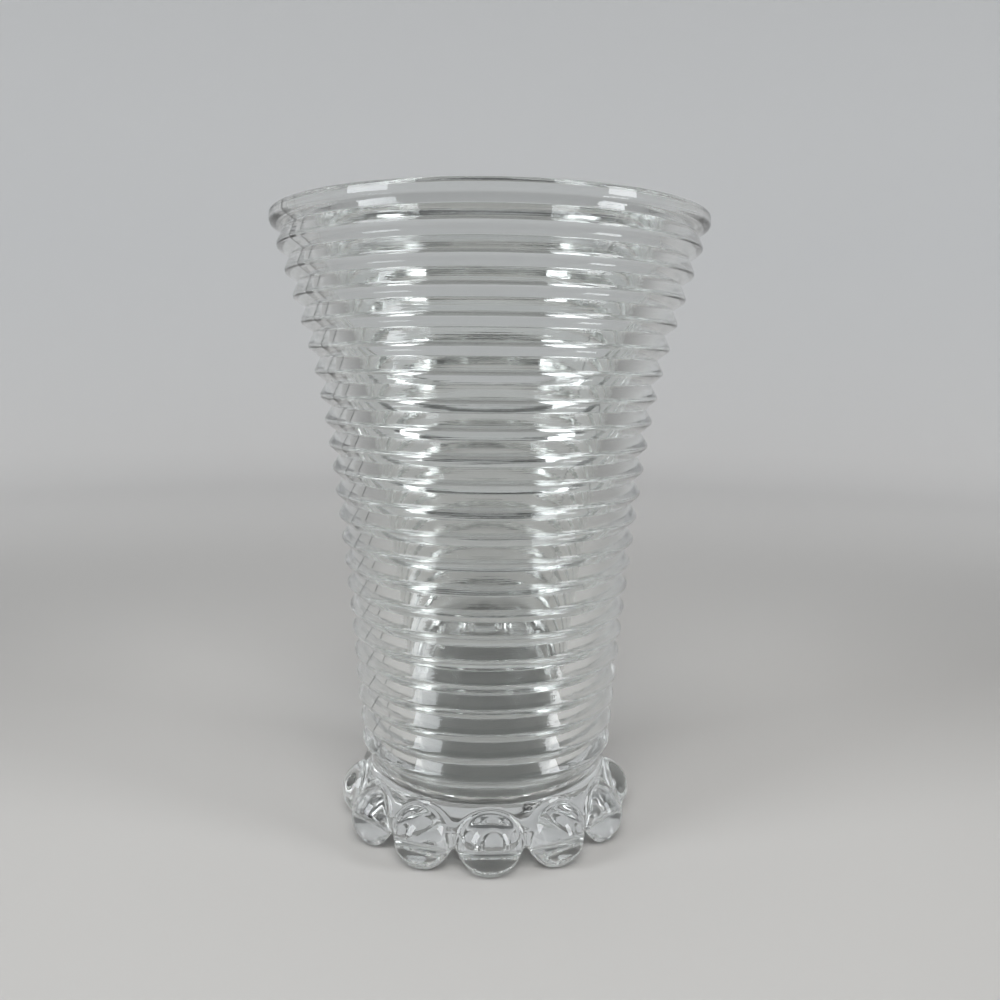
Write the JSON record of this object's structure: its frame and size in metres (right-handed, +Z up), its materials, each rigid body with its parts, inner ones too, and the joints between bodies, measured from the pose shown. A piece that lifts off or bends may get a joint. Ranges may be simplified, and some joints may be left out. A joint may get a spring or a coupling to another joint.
{
  "type": "vase",
  "caption": "Round flared vase of clear pressed glass, with stacked horizontal ribs from a rounded rim down to a ring of ball feet.",
  "frame": {"origin": "bottom centre of the vase, on the table that its feet stand on", "axes": "+Z up along the vase's axis; -Y is the side that the picture shows, with +X to its right"},
  "size_m": [0.141, 0.141, 0.2032],
  "materials": {
    "clear_glass": "clear colourless pressed glass, fire-polished, with a faint grey-green tint in the thick base"
  },
  "bodies": {
    "root": {"rim_bead": "clear_glass", "ribbed_wall": "clear_glass", "base_floor": "clear_glass", "ball_foot_01": "clear_glass", "ball_foot_02": "clear_glass", "ball_foot_03": "clear_glass", "ball_foot_04": "clear_glass", "ball_foot_05": "clear_glass", "ball_foot_06": "clear_glass", "ball_foot_07": "clear_glass", "ball_foot_08": "clear_glass", "ball_foot_09": "clear_glass", "ball_foot_10": "clear_glass", "ball_foot_11": "clear_glass", "ball_foot_12": "clear_glass"}
  },
  "joints": []
}
